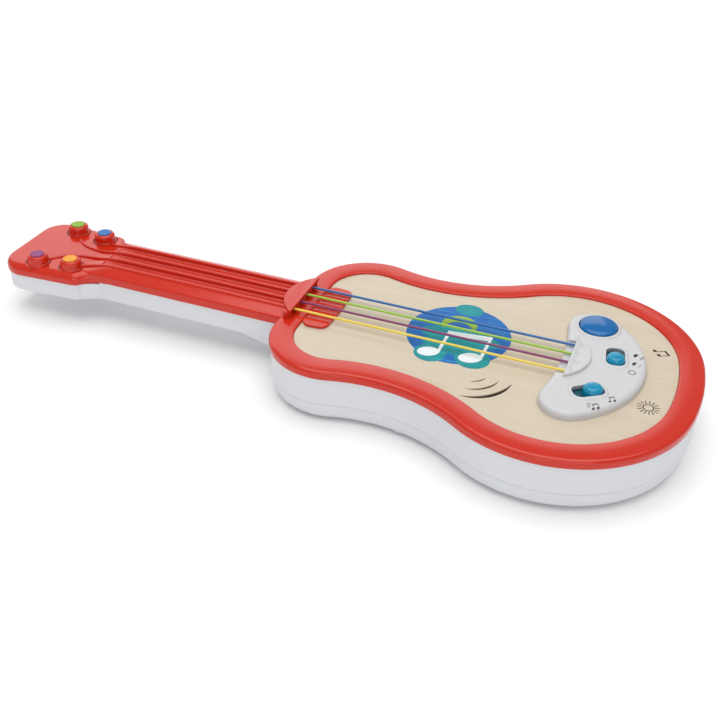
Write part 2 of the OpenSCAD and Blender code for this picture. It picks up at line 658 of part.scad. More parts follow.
// round lead through the points p
module lead(p, r) for (i = [0 : len(p) - 2]) {
  v = p[i + 1] - p[i];
  translate(p[i]) rotate([0, acos(v[2] / norm(v)), atan2(v[1], v[0])])
    translate([0, 0, -r / 2]) cylinder(norm(v) + r, r, r, $fn = 24);
}
module speaker_leads() color("#c8372d") translate([works_x, 0, 0]) for (d = [0, 3])
  lead([[33, -24.5 + d, board_z + 2.3], [44, -25 + d, board_z + 2.3], [60, -33 + d, board_z],
        [88, -39 + d, 21.4]], 0.6);
module battery_leads() color("#2b2b2b") translate([works_x, 0, 0]) for (d = [0, 3])
  lead([[33, 2 + d, board_z + 2.3], [42, 4 + d, board_z + 2.3], [52, 8 + d, 12], [57.3, 10 + d, 10]], 0.6);
module ribbon_cable() color("#9aa0a6") translate([works_x, -11.5, 0]) rotate([90, 0, 0]) linear_extrude(7)
  polygon([[30, board_z + 1.7], [42, board_z + 1.7], [50, 20.6], [134, 20.6], [138, card_z - 0.1],
           [134, card_z - 0.1], [132, 21], [49.8, 21], [41.8, board_z + 2.1], [30, board_z + 2.1]]);

top_frame();
finger_plate();
string_nut();
wood_panel();
control_pod();
bridge();
string_blue();
string_green();
string_purple();
string_yellow();
play_button();
volume_knob();
mode_knob();
peg_disc_green();
peg_disc_blue();
peg_disc_purple();
peg_disc_orange();
mid_shell();
back_shell();
battery_door();
door_screw_left();
door_screw_right();
battery_1();
battery_2();
battery_3();
contact_springs();
contact_plates();
main_board();
board_parts();
pod_board();
pod_screws();
tact_switch();
button_dome();
volume_switch();
mode_switch();
speaker_frame();
speaker_cone();
speaker_magnet();
speaker_gasket();
speaker_bracket();
touch_film();
case_screws();
neck_screws();
speaker_leads();
battery_leads();
ribbon_cable();
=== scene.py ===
"""Toy electric guitar on a pale floor. Pieces are made in millimetres and stored in metres."""
import math

import bmesh
import bpy
from mathutils import Matrix, Vector


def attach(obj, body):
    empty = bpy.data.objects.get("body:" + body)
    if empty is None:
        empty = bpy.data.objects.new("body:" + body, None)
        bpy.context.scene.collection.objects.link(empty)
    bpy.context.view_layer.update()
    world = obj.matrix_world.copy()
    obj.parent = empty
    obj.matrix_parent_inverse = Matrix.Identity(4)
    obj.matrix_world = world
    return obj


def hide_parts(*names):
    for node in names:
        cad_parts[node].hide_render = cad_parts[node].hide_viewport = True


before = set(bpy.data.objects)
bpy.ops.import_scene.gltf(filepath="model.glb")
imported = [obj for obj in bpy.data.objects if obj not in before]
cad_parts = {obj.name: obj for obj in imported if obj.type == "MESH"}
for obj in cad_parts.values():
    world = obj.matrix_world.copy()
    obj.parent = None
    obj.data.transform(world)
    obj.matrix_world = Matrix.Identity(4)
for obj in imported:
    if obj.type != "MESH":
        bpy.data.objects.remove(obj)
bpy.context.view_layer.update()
MM = 0.001

# ---------------------------------------------------------------- camera


def look():
    """Camera in front of the near side, above and to the right, with a little roll."""
    around, above, roll = (math.radians(a) for a in (21.05, 34.62, 1.21))
    back = Vector((math.sin(around) * math.cos(above),
                   -math.cos(around) * math.cos(above), math.sin(above)))
    right = Vector((math.cos(around), math.sin(around), 0))
    up = back.cross(right)
    turned = Matrix((right * math.cos(roll) + up * math.sin(roll),
                     up * math.cos(roll) - right * math.sin(roll), back)).transposed()
    camera = bpy.data.objects.new("camera", bpy.data.cameras.new("camera"))
    camera.data.sensor_width = 36
    camera.data.lens = 50.65
    camera.data.clip_start, camera.data.clip_end = 0.02, 20
    camera.matrix_world = Matrix.Translation((0.19367, -0.45352, 0.33832)) @ turned.to_4x4()
    bpy.context.collection.objects.link(camera)
    bpy.context.scene.camera = camera


look()

# ---------------------------------------------------------------- materials


def linear(code):
    """sRGB hex to the shader's linear colour, opaque."""
    parts = [int(code[i:i + 2], 16) / 255 for i in (1, 3, 5)]
    return [c / 12.92 if c <= 0.04045 else ((c + 0.055) / 1.055) ** 2.4 for c in parts] + [1.0]


def add(tree, kind, values=None, links=None, **settings):
    """One node: its settings, its socket values and the sockets that feed it."""
    n = tree.nodes.new("ShaderNode" + kind)
    for key, value in settings.items():
        setattr(n, key, value)
    for key, value in (values or {}).items():
        n.inputs[key].default_value = value
    for key, source in (links or {}).items():
        tree.links.new(source, n.inputs[key])
    return n


def finish_of(name, values):
    """A new material with its shader's own sockets set."""
    m = bpy.data.materials.new(name)
    m.use_nodes = True
    shader = m.node_tree.nodes["Principled BSDF"]
    for key, value in values.items():
        shader.inputs[key].default_value = value
    m.diffuse_color = values.get("Base Color", (0.8, 0.8, 0.8, 1))
    return m, m.node_tree, shader


def place(tree):
    return add(tree, "TexCoord").outputs["Object"]


def mixed(tree, fac, a, b):
    """Colour between two hex codes, by fac."""
    n = add(tree, "Mix", links={0: fac}, data_type="RGBA")
    n.inputs[6].default_value, n.inputs[7].default_value = linear(a), linear(b)
    return n.outputs[2]


PEEL_MM = 2.8  # width of the faint ripple that a polished mould leaves


def moulded(name, light, deep, rough, dent=0.000012, wear=0.09, extra=None):
    """Injection-moulded plastic: gloss from a polished tool, faint flow marks and handling scuffs."""
    m, t, s = finish_of(name, {"Base Color": linear(light), "Roughness": rough, "IOR": 1.53,
                               "Specular IOR Level": 0.42, **(extra or {})})
    at = place(t)
    flow = add(t, "TexNoise", {"Scale": 1 / (60 * MM), "Detail": 2.0}, {"Vector": at})
    t.links.new(mixed(t, flow.outputs["Fac"], light, deep), s.inputs["Base Color"])
    scuff = add(t, "TexNoise", {"Scale": 1 / (9 * MM), "Detail": 5.0, "Roughness": 0.7},
                {"Vector": at})
    spread = add(t, "MapRange", {"From Min": 0.35, "From Max": 0.75, "To Min": rough - wear / 2,
                                 "To Max": rough + wear}, {"Value": scuff.outputs["Fac"]})
    t.links.new(spread.outputs[0], s.inputs["Roughness"])
    peel = add(t, "TexNoise", {"Scale": 1 / (PEEL_MM * MM), "Detail": 2.0}, {"Vector": at})
    bump = add(t, "Bump", {"Strength": 0.25, "Distance": dent}, {"Height": peel.outputs["Fac"]})
    t.links.new(bump.outputs[0], s.inputs["Normal"])
    return m


# ABS, polished mould: bright reflections with soft edges
red_abs = moulded("moulded red ABS", "#cb2c17", "#c32611", 0.17, wear=0.03)
white_abs = moulded("moulded white ABS", "#d9dbde", "#d2d4d9", 0.36, dent=0.000002, wear=0.02)
pod_white = moulded("satin white ABS", "#cbcbcc", "#c6c6c8", 0.36, dent=0.000002, wear=0.02)
blue_abs = moulded("moulded blue ABS", "#0266a8", "#025f9f", 0.14)


def birch():
    """Birch plywood under clear lacquer: pale, long grain along the neck, fine pores."""
    m, t, s = finish_of("lacquered birch plywood", {"Base Color": linear("#e6d3b1"),
                        "Roughness": 0.42, "IOR": 1.5, "Coat Weight": 0.12,
                        "Coat Roughness": 0.25})
    at = place(t)
    stretched = add(t, "Mapping", {"Scale": (0.09, 1.0, 1.0)}, {"Vector": at})
    bands = add(t, "TexNoise", {"Scale": 1 / (16 * MM), "Detail": 4.0, "Roughness": 0.55,
                                "Distortion": 0.6}, {"Vector": stretched.outputs[0]})
    fibres = add(t, "TexNoise", {"Scale": 1 / (1.6 * MM), "Detail": 3.0, "Roughness": 0.6},
                 {"Vector": stretched.outputs[0]})
    tone = mixed(t, bands.outputs["Fac"], "#d2c6b3", "#c5b69d")
    thin = add(t, "MapRange", {"From Min": 0.45, "From Max": 0.8, "To Min": 0.0, "To Max": 0.35},
               {"Value": fibres.outputs["Fac"]})
    both = add(t, "Mix", {7: linear("#b9a27c")}, {0: thin.outputs[0], 6: tone}, data_type="RGBA")
    t.links.new(both.outputs[2], s.inputs["Base Color"])
    bump = add(t, "Bump", {"Strength": 0.3, "Distance": 0.00003},
               {"Height": fibres.outputs["Fac"]})
    t.links.new(bump.outputs[0], s.inputs["Normal"])
    return m


birch_ply = birch()


def clear_teal():
    """Tinted clear styrene: light passes and gathers at the rim of the dome."""
    m, t, s = finish_of("tinted clear teal styrene", {"Base Color": linear("#22a7b8"),
                        "Roughness": 0.08, "IOR": 1.55, "Transmission Weight": 0.2,
                        "Subsurface Weight": 0.3, "Subsurface Scale": 0.004,
                        "Specular IOR Level": 0.4})
    at = place(t)
    cloud = add(t, "TexNoise", {"Scale": 1 / (5 * MM), "Detail": 2.0}, {"Vector": at})
    t.links.new(mixed(t, cloud.outputs["Fac"], "#0aa2cc", "#0790b8"), s.inputs["Base Color"])
    return m


teal = clear_teal()
# the knob plates show only in the gaps under the pod's roof; their teal is darkened to paint the shade
# that falls there
teal_painted_shade = moulded("teal styrene darkened as painted shade", "#1d5d6c", "#174d5b", 0.3)


def nylon(name, code, deep):
    """Drawn nylon line: smooth, a little clear, faint streaks along the draw."""
    m, t, s = finish_of(name, {"Base Color": linear(code), "Roughness": 0.32, "IOR": 1.53,
                               "Subsurface Weight": 0.15, "Subsurface Scale": 0.001})
    along = add(t, "Mapping", {"Scale": (0.03, 1.0, 1.0)}, {"Vector": place(t)})
    streak = add(t, "TexNoise", {"Scale": 1 / (0.8 * MM), "Detail": 2.0},
                 {"Vector": along.outputs[0]})
    t.links.new(mixed(t, streak.outputs["Fac"], code, deep), s.inputs["Base Color"])
    return m


line_blue = nylon("blue nylon line", "#2b6fb3", "#235e9c")
line_green = nylon("green nylon line", "#a7cf4f", "#93bd3d")
line_purple = nylon("purple nylon line", "#8d4073", "#7b3564")
line_yellow = nylon("yellow nylon line", "#efd95b", "#e2c841")


def paint(name, code, deep, patch_mm=3.0, rough=0.4):
    """Pad-printed ink: thin, satin, slightly uneven in strength."""
    m, t, s = finish_of(name, {"Base Color": linear(code), "Roughness": rough, "IOR": 1.48,
                               "Specular IOR Level": 0.3})
    uneven = add(t, "TexNoise", {"Scale": 1 / (patch_mm * MM), "Detail": 4.0, "Roughness": 0.65},
                 {"Vector": place(t)})
    t.links.new(mixed(t, uneven.outputs["Fac"], code, deep), s.inputs["Base Color"])
    return m


disc_green = paint("green peg insert", "#8cb43a", "#7da52f")
disc_blue = paint("blue peg insert", "#2f74bd", "#2766a8")
disc_purple = paint("purple peg insert", "#93407c", "#84356d")
disc_orange = paint("orange peg insert", "#f0a52c", "#e49420")
ink_dark = paint("dark brown ink", "#2c211c", "#3a2c25", 0.8, 0.45)


def metal(name, code, rough, scratch_mm=1.2):
    """Plated or rolled metal with short scratches."""
    m, t, s = finish_of(name, {"Base Color": linear(code), "Metallic": 1.0, "Roughness": rough})
    scratch = add(t, "TexNoise", {"Scale": 1 / (scratch_mm * MM), "Detail": 5.0},
                  {"Vector": place(t)})
    spread = add(t, "MapRange", {"To Min": rough - 0.08, "To Max": rough + 0.12},
                 {"Value": scratch.outputs["Fac"]})
    t.links.new(spread.outputs[0], s.inputs["Roughness"])
    return m


zinc = metal("zinc-plated steel", "#c4c8cc", 0.3)
nickel = metal("nickel-plated spring steel", "#cfcfca", 0.22, 0.6)
copper = metal("rolled copper foil", "#c98a5c", 0.35)
ferrite = paint("sintered ferrite", "#4c5054", "#3d4144", 1.5, 0.7)
card = paint("green solder mask", "#1f6b45", "#2a7d52", 2.0, 0.35)
black_part = paint("black epoxy moulding", "#1d2023", "#2a2d31", 1.0, 0.5)
cone_film = paint("black speaker film", "#2f3236", "#3c4044", 2.0, 0.55)
foam = paint("black foam", "#2b2e32", "#3b3f44", 0.7, 0.9)
silicone = paint("milky silicone rubber", "#d7dadd", "#c6cace", 2.0, 0.45)
sleeve = paint("dry cell sleeve", "#33424c", "#2a3740", 6.0, 0.3)
lead_red = paint("red lead insulation", "#c1352b", "#ad2c24", 1.0, 0.45)
lead_dark = paint("black lead insulation", "#26282b", "#33363a", 1.0, 0.45)
lead_grey = paint("grey ribbon insulation", "#9aa0a6", "#8b9197", 1.0, 0.5)
can = metal("tinned switch can", "#c9cccf", 0.28, 0.8)

def brushed(name, deep, mid, pale):
    """Ink laid with a dry brush: streaks 12 mm long and under 1 mm wide, along the strings."""
    m, t, s = finish_of(name, {"Base Color": linear(mid), "Roughness": 0.45, "Specular IOR Level": 0.3})
    drawn = add(t, "Mapping", {"Scale": (0.08, 1.0, 1.0)}, {"Vector": place(t)})
    streak = add(t, "TexNoise", {"Scale": 1 / (1.1 * MM), "Detail": 3.0, "Roughness": 0.6},
                 {"Vector": drawn.outputs[0]})
    broad = add(t, "TexNoise", {"Scale": 1 / (9 * MM), "Detail": 3.0}, {"Vector": place(t)})
    body = mixed(t, broad.outputs["Fac"], deep, mid)
    dry = add(t, "MapRange", {"From Min": 0.5, "From Max": 0.72, "To Min": 0.0, "To Max": 0.75},
              {"Value": streak.outputs["Fac"]})
    both = add(t, "Mix", {7: linear(pale)}, {0: dry.outputs[0], 6: body}, data_type="RGBA")
    t.links.new(both.outputs[2], s.inputs["Base Color"])
    return m


ink_blue = brushed("brushed blue ink", "#0a55a0", "#0a68b4", "#2495d2")
ink_teal = brushed("brushed teal ink", "#068088", "#0a9299", "#22b2b0")
ink_lime = brushed("brushed lime ink", "#6f9f35", "#8fb33a", "#cfc83a")
ink_white = paint("white ink", "#e9edf0", "#dfe5ea", 2.0)
ink_black = paint("black ink", "#232326", "#2e2e32", 0.8, 0.4)
cloth = paint("black speaker cloth", "#1d1714", "#2b211c", 0.6, 0.9)


# ---------------------------------------------------------------- mesh helpers


def from_cad(node):
    """The node's shape as a merged mesh, in millimetres."""
    bm = bmesh.new()
    bm.from_mesh(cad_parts[node].data)
    bmesh.ops.scale(bm, vec=(1 / MM,) * 3, verts=bm.verts)
    bmesh.ops.remove_doubles(bm, verts=bm.verts, dist=0.003)
    bmesh.ops.dissolve_limit(bm, angle_limit=math.radians(0.6), verts=bm.verts, edges=bm.edges)
    return bm


def piece(name, bm, material, body="casing", stands_for=(), soft=0.0, sharp=40, outward=True):
    """Finishes a millimetre mesh as a shown piece that rides on a body."""
    if outward:
        bmesh.ops.recalc_face_normals(bm, faces=bm.faces)
    bmesh.ops.scale(bm, vec=(MM,) * 3, verts=bm.verts)
    mesh = bpy.data.meshes.new(name)
    bm.to_mesh(mesh)
    bm.free()
    mesh.materials.append(material)
    mesh.shade_smooth()
    mesh.set_sharp_from_angle(angle=math.radians(sharp))
    o = bpy.data.objects.new(name, mesh)
    bpy.context.collection.objects.link(o)
    if soft:
        b = o.modifiers.new("rounded edges", "BEVEL")
        b.width, b.segments, b.limit_method = soft * MM, 3, "ANGLE"
        b.angle_limit = math.radians(32)
        b.use_clamp_overlap = True
    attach(o, body)
    if stands_for:
        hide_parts(*stands_for)
    return o


def section(points, start, rounds=None, closed=True):
    """Cross-section of (outward, up) corners standing at x = start; rounds gives {corner: radius}."""
    bm = bmesh.new()
    corners = [bm.verts.new((start + out, 0, up)) for out, up in points]
    for a, b in zip(corners, corners[1:] + corners[:1] if closed else corners[1:]):
        bm.edges.new((a, b))
    for k, radius in (rounds or {}).items():
        bmesh.ops.bevel(bm, geom=[corners[k]], offset=radius, offset_type="OFFSET",
                        segments=max(3, round(radius * 3)), profile=0.5, affect="VERTICES",
                        clamp_overlap=True, material=-1)
    return bm


def sweep(bm, path, degrees=2.5):
    """Carries the section along arcs (centre x, centre y, turn) and straights (x, y)."""
    last = bm.verts[:] + bm.edges[:]
    for leg in path:
        if len(leg) == 3:
            out = bmesh.ops.spin(bm, geom=last, cent=(leg[0], leg[1], 0), axis=(0, 0, 1),
                                 dvec=(0, 0, 0), angle=math.radians(leg[2]),
                                 steps=max(3, round(abs(leg[2]) / degrees)), use_duplicate=False)
            last = out["geom_last"]
        else:
            edges = [g for g in last if isinstance(g, bmesh.types.BMEdge)]
            out = bmesh.ops.extrude_edge_only(bm, edges=edges)["geom"]
            moved = [g for g in out if isinstance(g, bmesh.types.BMVert)]
            bmesh.ops.translate(bm, vec=(leg[0], leg[1], 0), verts=moved)
            last = moved + [g for g in out if isinstance(g, bmesh.types.BMEdge)
                            and all(v in moved for v in g.verts)]
    return last


def mirrored(bm, *axes):
    for axis in axes or ("Y",):
        bmesh.ops.mirror(bm, geom=bm.verts[:] + bm.edges[:] + bm.faces[:], matrix=Matrix(),
                         merge_dist=0.001, axis=axis)
    bmesh.ops.remove_doubles(bm, verts=bm.verts, dist=0.002)
    return bm


def lid(bm):
    """Closes every open rim with flat faces."""
    rims = [e for e in bm.edges if len(e.link_faces) < 2]
    for level in sorted({round(v.co.z, 2) for e in rims for v in e.verts}):
        flat = [e for e in rims if e.is_valid and all(abs(v.co.z - level) < 0.02 for v in e.verts)]
        bmesh.ops.triangle_fill(bm, use_beauty=True, use_dissolve=False, edges=flat,
                                normal=(0, 0, 1))
    return bm


def combine(bm, tool, how="DIFFERENCE"):
    """bm less the tool, made one with it, or what both share, by how; both are closed."""
    pair = []
    for part in (bm, tool):
        bmesh.ops.recalc_face_normals(part, faces=part.faces)
        mesh = bpy.data.meshes.new("work")
        part.to_mesh(mesh)
        part.free()
        pair.append(bpy.data.objects.new("work", mesh))
        bpy.context.collection.objects.link(pair[-1])
    step = pair[0].modifiers.new("work", "BOOLEAN")
    step.object, step.operation, step.solver = pair[1], how, "EXACT"
    bpy.context.view_layer.update()
    out = bmesh.new()
    out.from_object(pair[0], bpy.context.evaluated_depsgraph_get())
    for o in pair:
        mesh = o.data
        bpy.data.objects.remove(o)
        bpy.data.meshes.remove(mesh)
    return out


def lathe(points, at, rounds=None, closed=False, steps=64):
    """Turned shape of (radius, height) corners about a vertical line."""
    bm = section(points, 0, rounds, closed)
    bmesh.ops.spin(bm, geom=bm.verts[:] + bm.edges[:], cent=(0, 0, 0), axis=(0, 0, 1),
                   dvec=(0, 0, 0), angle=math.tau, steps=steps, use_merge=True,
                   use_duplicate=False)
    bmesh.ops.remove_doubles(bm, verts=bm.verts, dist=0.002)
    bmesh.ops.translate(bm, vec=(at[0], at[1], 0), verts=bm.verts)
    return bm


def join(*parts):
    """Puts closed parts in one mesh."""
    whole = bmesh.new()
    for part in parts:
        mesh = bpy.data.meshes.new("work")
        part.to_mesh(mesh)
        part.free()
        whole.from_mesh(mesh)
        bpy.data.meshes.remove(mesh)
    return whole


def block(low, high, soft=0.0, upright=False):
    """Box between two corners, with all edges or only the upright ones rounded."""
    bm = bmesh.new()
    bmesh.ops.create_cube(bm, size=1)
    bmesh.ops.scale(bm, vec=[h - l for l, h in zip(low, high)], verts=bm.verts)
    bmesh.ops.translate(bm, vec=[(h + l) / 2 for l, h in zip(low, high)], verts=bm.verts)
    if soft:
        edges = [e for e in bm.edges if not upright
                 or abs(e.verts[0].co.z - e.verts[1].co.z) > 0.01]
        bmesh.ops.bevel(bm, geom=edges, offset=soft, offset_type="OFFSET", segments=5, profile=0.5,
                        affect="EDGES", clamp_overlap=True, material=-1)
    return bm


def put(bm, at, turn=0.0):
    """Turns about the vertical in degrees, then moves."""
    bmesh.ops.rotate(bm, cent=(0, 0, 0), matrix=Matrix.Rotation(math.radians(turn), 3, "Z"),
                     verts=bm.verts)
    bmesh.ops.translate(bm, vec=(at[0], at[1], at[2] if len(at) > 2 else 0), verts=bm.verts)
    return bm


LOOKS = {
    "top_frame": red_abs, "finger_plate": red_abs, "string_nut": red_abs,
    "wood_panel": birch_ply, "control_pod": pod_white, "bridge": pod_white,
    "string_blue": line_blue, "string_green": line_green, "string_purple": line_purple,
    "string_yellow": line_yellow, "play_button": blue_abs, "volume_knob": teal,
    "mode_knob": teal, "peg_disc_green": disc_green, "peg_disc_blue": disc_blue,
    "peg_disc_purple": disc_purple, "peg_disc_orange": disc_orange, "mid_shell": white_abs,
    "back_shell": white_abs, "battery_door": white_abs, "door_screw_left": zinc,
    "door_screw_right": zinc, "battery_1": sleeve, "battery_2": sleeve, "battery_3": sleeve,
    "contact_springs": nickel, "contact_plates": nickel, "main_board": card,
    "board_parts": black_part, "pod_board": card, "pod_screws": zinc, "tact_switch": black_part,
    "button_dome": silicone, "volume_switch": can, "mode_switch": can, "speaker_frame": zinc,
    "speaker_cone": cone_film, "speaker_magnet": ferrite, "speaker_gasket": foam,
    "speaker_bracket": white_abs, "touch_film": copper, "case_screws": zinc,
    "neck_screws": zinc, "speaker_leads": lead_red, "battery_leads": lead_dark,
    "ribbon_cable": lead_grey,
}
for node, material in LOOKS.items():
    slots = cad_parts[node].data.materials
    slots.clear()
    slots.append(material)

# ---------------------------------------------------------------- outlines

TAIL_X, BODY_X, DECK = 208.0, -22.5, 34.0
tail_r, side_r, corner_r, waist_r = 150.0, 71.0, 36.5, 86.0
side_y, corner_x, corner_y = 12.5, BODY_X + corner_r, 25.0
tail_cx = TAIL_X - tail_r
side_x = tail_cx + math.sqrt((tail_r - side_r) ** 2 - side_y ** 2)
tail_a = math.degrees(math.atan2(side_y, side_x - tail_cx))
step_x, step_y = corner_x - side_x, corner_y - side_y
span = math.hypot(step_x, step_y)
along = ((waist_r + side_r) ** 2 - (waist_r + corner_r) ** 2 + span * span) / (2 * span)
off = math.sqrt((waist_r + side_r) ** 2 - along * along)
waist_x = side_x + (step_x * along + step_y * off) / span
waist_y = side_y + (step_y * along - step_x * off) / span
to_waist = math.degrees(math.atan2(waist_y - side_y, waist_x - side_x))
from_waist = math.degrees(math.atan2(waist_y - corner_y, waist_x - corner_x))
BODY = [(tail_cx, 0, tail_a), (side_x, side_y, to_waist - tail_a),
        (waist_x, waist_y, from_waist - to_waist), (corner_x, corner_y, 180 - from_waist),
        (0, -corner_y)]

POD_X, POD_TOP, lobe_x, lobe_y, lobe_r, front_x = 178.0, 37.2, 144.0, 36.0, 14.0, 134.0
k = lobe_x - POD_X
pod_cx = POD_X + (k * k + lobe_y ** 2 - lobe_r ** 2) / (2 * (k + lobe_r))
k = lobe_x - front_x
front_r = (k * k + lobe_y ** 2 - lobe_r ** 2) / (2 * (lobe_r - k))
lobe_from = math.degrees(math.atan2(lobe_y, lobe_x - pod_cx))
lobe_to = 180 + math.degrees(math.atan2(lobe_y, lobe_x - front_x + front_r))
POD = [(pod_cx, 0, lobe_from), (lobe_x, lobe_y, lobe_to - lobe_from),
       (front_x - front_r, 0, 180 - lobe_to)]

BUTTON, VOLUME, MODE = (146.5, 35.0), (160.5, 8.8, 100), (153.0, -27.0, 34)


def body_band(points, rounds=None, closed=True):
    bm = section(points, TAIL_X, rounds, closed)
    sweep(bm, BODY)
    return mirrored(bm)


def pod_solid(inset, low, high, edge):
    """The pod's outline from low to high, its upper edge rounded."""
    bm = section([(-inset, low), (-inset, high), (-inset - edge - 0.4, high)], POD_X, {1: edge},
                 closed=False)
    sweep(bm, POD)
    return lid(mirrored(bm))


def window_band(points, length, width, radius, rounds=None, closed=True):
    """Section carried round a window of the given size."""
    bm = section(points, length / 2, rounds, closed)
    sweep(bm, [(0, width / 2 - radius), (length / 2 - radius, width / 2 - radius, 90),
               (-length / 2 + radius, 0)], 10)
    return mirrored(bm, "Y", "X")


def window_block(length, width, radius, low, high):
    bm = section([(0, low), (0, high)], length / 2, closed=False)
    sweep(bm, [(0, width / 2 - radius), (length / 2 - radius, width / 2 - radius, 90),
               (-length / 2 + radius, 0)], 10)
    return lid(mirrored(bm, "Y", "X"))


# ---------------------------------------------------------------- red frame

rim = body_band([(0, 29.0), (0, DECK), (-13.5, DECK), (-13.5, 28.9), (-11, 28.9), (-11, 31.4),
                 (-2.5, 31.4), (-2.5, 29.0)], {0: 0.4, 1: 1.9, 2: 0.8})
piece("rim", rim, red_abs, stands_for=("top_frame",))

# headstock plate: rolled edge, round corners, drawn in to the neck
HEAD_R, HEAD_Y = 15.2, 15.3
NECK_X, NECK_HALF = -136.0, 20.6      # where the plate ends in the neck, and half its width there
FACE_IN, LINING = 5.2, 2.5            # flat face and inner wall, in from the outline
far = (-157.0, 22.3, 6.0)
near = (-TAIL_X + HEAD_R, HEAD_Y, HEAD_R)
lean = math.degrees(math.atan2(far[1] - near[1], far[0] - near[0])) + math.degrees(
    math.acos((near[2] - far[2]) / math.dist(near[:2], far[:2])))
reach = far[2] - near[2]
fillet = 12.0
turn_in = math.degrees(math.acos(1 - (far[1] + far[2] - NECK_HALF) / (far[2] + fillet)))
fillet_x = far[0] + (far[2] + fillet) * math.sin(math.radians(turn_in))
HEAD = [(0, HEAD_Y), (near[0], near[1], lean - 180),
        (far[0] - near[0] + reach * math.cos(math.radians(lean)),
         far[1] - near[1] + reach * math.sin(math.radians(lean))),
        (far[0], far[1], 90 - turn_in - lean), (fillet_x, NECK_HALF + fillet, turn_in),
        (NECK_X - fillet_x, 0)]
head = section([(-LINING, 31.4), (-LINING, 27.2), (0, 27.2), (0, DECK), (-FACE_IN, DECK)], 0,
               {2: 0.5, 3: 4.2}, closed=False)
bmesh.ops.scale(head, vec=(-1, 1, 1), verts=head.verts)
bmesh.ops.translate(head, vec=(-TAIL_X, 0, 0), verts=head.verts)
sweep(head, HEAD, 5)
mirrored(head)
for level, side in ((31.4, NECK_HALF - LINING), (DECK, NECK_HALF - FACE_IN)):
    pair = [v for v in head.verts if abs(v.co.x - NECK_X) < 0.02 and abs(v.co.z - level) < 0.02
            and abs(abs(v.co.y) - side) < 0.05]
    head.edges.new(pair)
lid(head)
bmesh.ops.holes_fill(head, edges=[e for e in head.edges if len(e.link_faces) < 2], sides=0)
for v in head.verts:
    if v.co.x > -147 and v.co.z < 29.2:
        u = min(1.0, (v.co.x + 147) / 8)
        v.co.z += (28.6 - 27.2) * u * u * (3 - 2 * u) * (29.3 - v.co.z) / 2.1
piece("headstock", head, red_abs)

# neck: flanks, crowned top and three hollow channels
neck = bmesh.new()
outer = [(-20.8, 29.0), (-20.8, DECK), (-14.4, 36.6), (14.4, 36.6), (20.8, DECK), (20.8, 29.0)]
inner = [(18.3, 29.0), (18.3, 32.8), (13.2, 34.3), (-13.2, 34.3), (-18.3, 32.8), (-18.3, 29.0)]
corners = [neck.verts.new((-18.9, y, z)) for y, z in outer + inner]
for a, b in zip(corners, corners[1:] + corners[:1]):
    neck.edges.new((a, b))
for i, radius in ((1, 1.1), (4, 1.1), (2, 1.6), (3, 1.6)):
    bmesh.ops.bevel(neck, geom=[corners[i]], offset=radius, offset_type="OFFSET", segments=5,
                    profile=0.5, affect="VERTICES", clamp_overlap=True, material=-1)
last = sweep(neck, [(-116.1, 0)])
before = 0.0
for i in range(1, 11):
    u = i / 10
    drop = 2.75 * u * u * (3 - 2 * u)
    edges = [g for g in last if isinstance(g, bmesh.types.BMEdge)]
    out = bmesh.ops.extrude_edge_only(neck, edges=edges)["geom"]
    moved = [g for g in out if isinstance(g, bmesh.types.BMVert)]
    bmesh.ops.translate(neck, vec=(-2.3, 0, 0), verts=moved)
    for v in moved:
        v.co.z -= (drop - before) * max(0.0, min(1.0, (20.8 - abs(v.co.y)) / 6.4)) if v.co.z > 29.1 \
            else 0.0
    last = moved + [g for g in out if isinstance(g, bmesh.types.BMEdge)
                    and all(v in moved for v in g.verts)]
    before = drop
for x in (-18.9, -158.0):
    ends = [e for e in neck.edges if len(e.link_faces) < 2
            and all(abs(v.co.x - x) < 0.02 for v in e.verts)]
    bmesh.ops.triangle_fill(neck, use_beauty=True, use_dissolve=False, edges=ends, normal=(1, 0, 0))
for y in (-8.6, 0.0, 8.6):
    hollow = block((-146, y - 3.5, 34.95), (-12, y + 3.5, 40), 1.3)
    neck = combine(neck, hollow)
piece("neck", neck, red_abs)


def crown(x):
    """Height of the neck and headstock surface along x."""
    u = max(0.0, min(1.0, (-135 - x) / 23))
    return 36.6 - 2.6 * u * u * (3 - 2 * u)


def raised_line(name, points):
    """Round-topped raised line that runs from a peg to the nut."""
    curve = bpy.data.curves.new(name, "CURVE")
    curve.dimensions, curve.bevel_depth, curve.bevel_resolution = "3D", 0.95, 3
    curve.use_fill_caps = True
    spline = curve.splines.new("NURBS")
    spline.points.add(len(points) - 1)
    for p, (x, y) in zip(spline.points, points):
        p.co = (x, y, crown(x) + 0.05, 1)
    spline.order_u, spline.use_endpoint_u, spline.resolution_u = 4, True, 8
    o = bpy.data.objects.new(name, curve)
    bm = bmesh.new()
    bm.from_mesh(bpy.data.meshes.new_from_object(o))
    bpy.data.objects.remove(o)
    bmesh.ops.remove_doubles(bm, verts=bm.verts, dist=0.002)
    return piece(name, bm, red_abs)


for side, tag in ((1, "far"), (-1, "near")):
    raised_line("line_inner_" + tag, [(x, side * y) for x, y in (
        (-182.6, 20.3), (-180.5, 17.4), (-177, 12.8), (-172, 8.3), (-165, 5.4), (-158, 4.5),
        (-150, 4.3), (-143, 4.3), (-136, 4.3), (-128, 4.3), (-118, 4.3), (-70, 4.3), (-19.5, 4.3))])
    raised_line("line_outer_" + tag, [(x, side * y) for x, y in (
        (-161, 18.0), (-158, 16.3), (-153, 14.2), (-147, 13.1), (-141, 12.9), (-135, 12.9),
        (-128, 12.9), (-118, 12.9), (-70, 12.9), (-19.5, 12.9))])
    for x, y, kind in ((-183.6, 21.3, "outer"), (-162.0, 18.4, "inner")):
        boss = lathe([(0, 33.5), (7.6, 33.5), (7.6, 34.0), (6.2, 34.0), (6.2, 39.2), (4.1, 39.2),
                      (4.1, 37.5), (0, 37.5)], (x, side * y), {3: 0.8, 4: 1.9, 5: 0.25})
        piece("peg_%s_%s" % (kind, tag), boss, red_abs)

